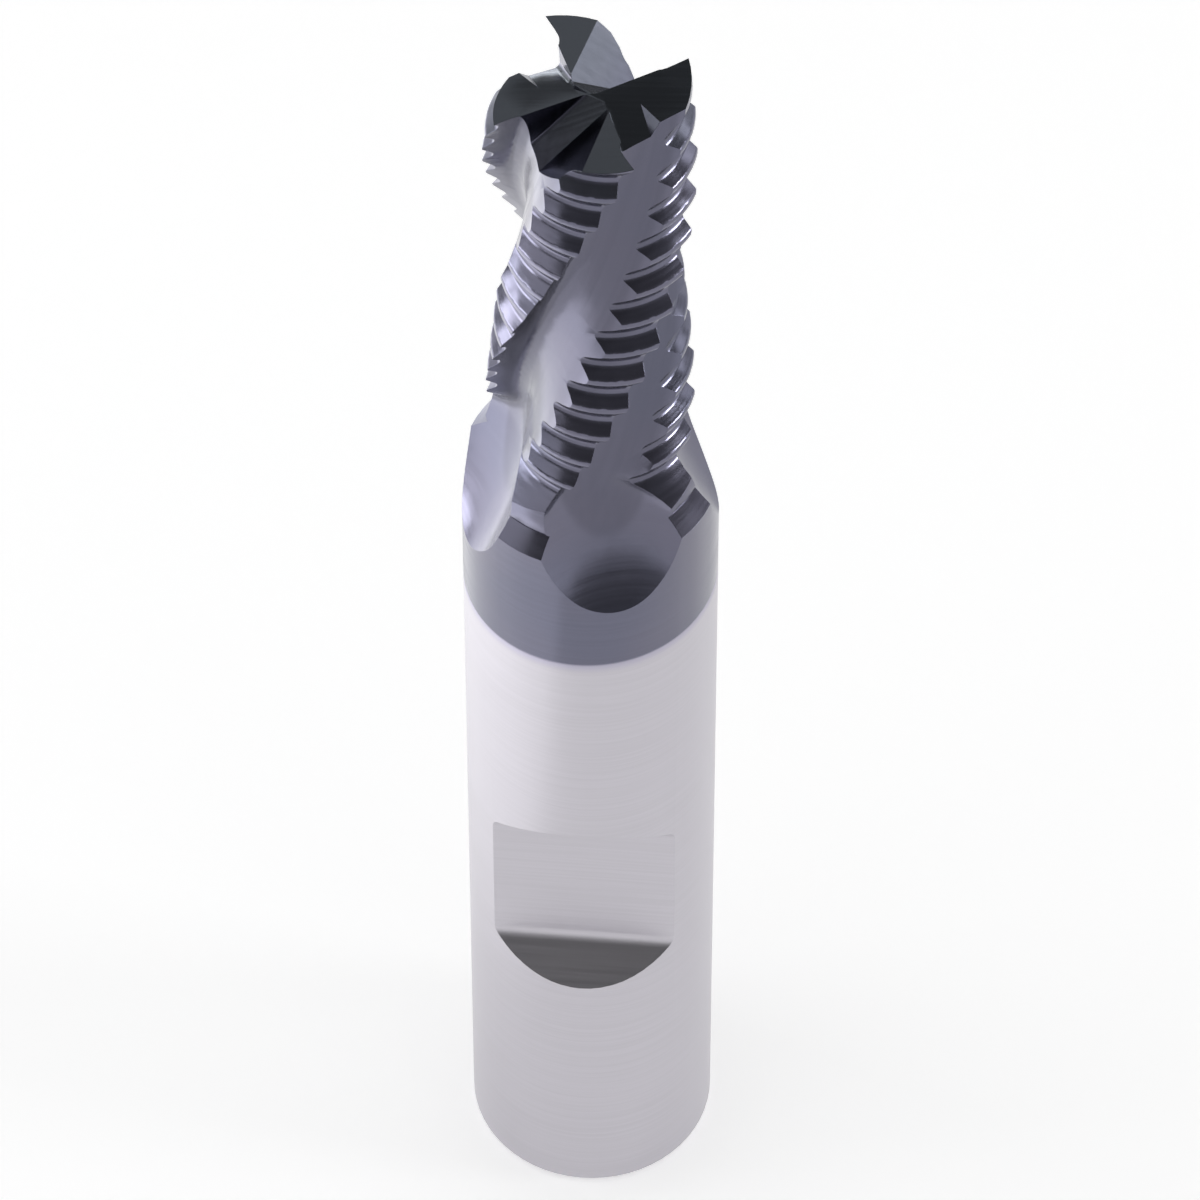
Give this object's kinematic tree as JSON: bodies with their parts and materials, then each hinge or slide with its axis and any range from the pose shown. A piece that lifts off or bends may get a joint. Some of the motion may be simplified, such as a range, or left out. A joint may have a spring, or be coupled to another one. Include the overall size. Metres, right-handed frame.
{
  "type": "roughing end mill",
  "caption": "Solid carbide roughing end mill with helical flutes, staggered knuckle ridges along each tooth, centre-cutting end, plain round shank and a clamping flat.",
  "frame": {"origin": "centre of the shank's end face, which the tool stands on", "axes": "+Z along the tool's axis from the shank end to the cutting end, -Y the side in the picture, with the clamping flat turned 5 degrees from -Y"},
  "size_m": [0.01, 0.01, 0.066],
  "materials": {
    "coated_carbide": "satin"
  },
  "bodies": {
    "root": {"roughing_end_mill": "coated_carbide"}
  },
  "joints": []
}
